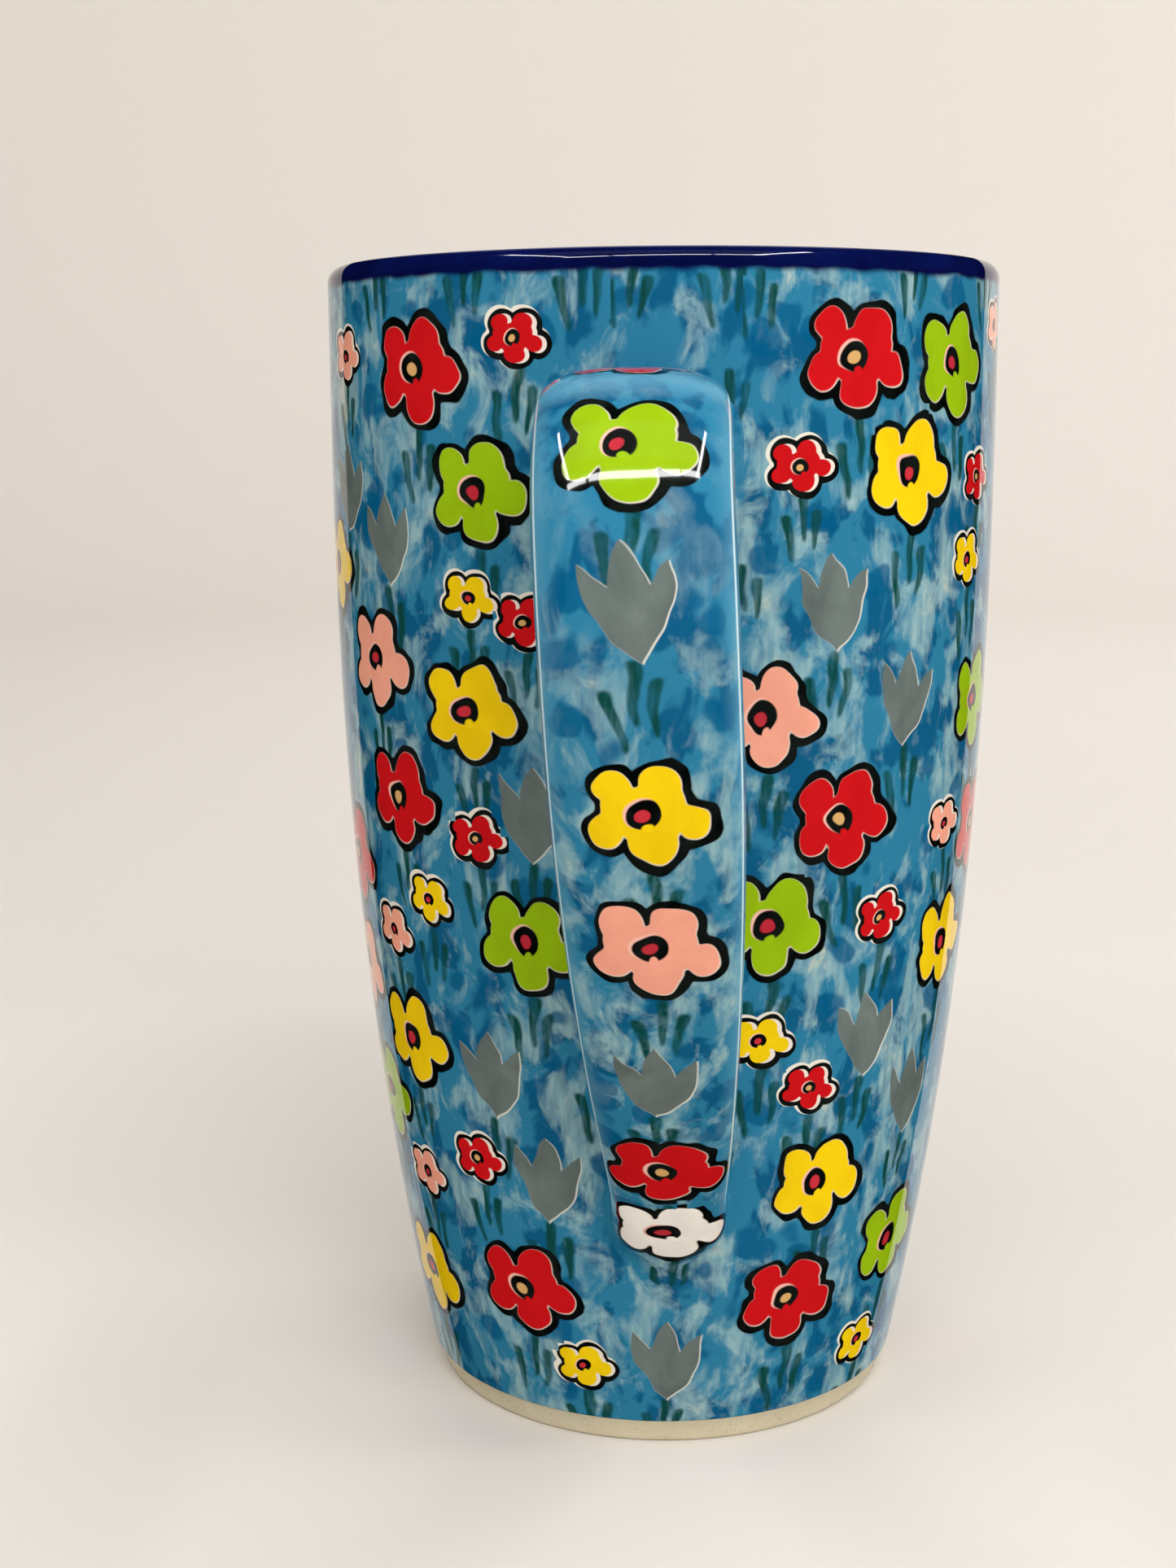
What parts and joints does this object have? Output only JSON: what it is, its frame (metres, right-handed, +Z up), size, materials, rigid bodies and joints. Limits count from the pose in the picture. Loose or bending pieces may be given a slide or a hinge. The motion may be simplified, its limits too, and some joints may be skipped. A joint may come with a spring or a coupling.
{
  "type": "stoneware latte mug",
  "caption": "Tall glazed stoneware mug, tapering to a bare foot ring, with a cobalt lip, a flower-painted wall and a tapering strap handle stuck on with slip.",
  "frame": {"origin": "middle of the mug's footprint box on the surface it stands on; the cup's axis is 18.44 mm from it along +Y", "axes": "+Z up along the cup's axis, the handle points along -Y, +X to the right seen from the handle's side"},
  "size_m": [0.0872, 0.1242, 0.1495],
  "materials": {
    "stoneware": "matte",
    "slip_clay": "matte",
    "painted_glaze": "gloss",
    "cobalt_glaze": "gloss",
    "liner_glaze": "gloss",
    "base_glaze": "gloss"
  },
  "bodies": {
    "root": {"clay_cup": "stoneware", "outer_glaze": "painted_glaze", "rim_glaze": "cobalt_glaze", "liner_glaze": "liner_glaze", "base_glaze": "base_glaze", "clay_handle": "stoneware", "handle_glaze": "painted_glaze", "upper_slip_joint": "slip_clay", "lower_slip_joint": "slip_clay"}
  },
  "joints": []
}
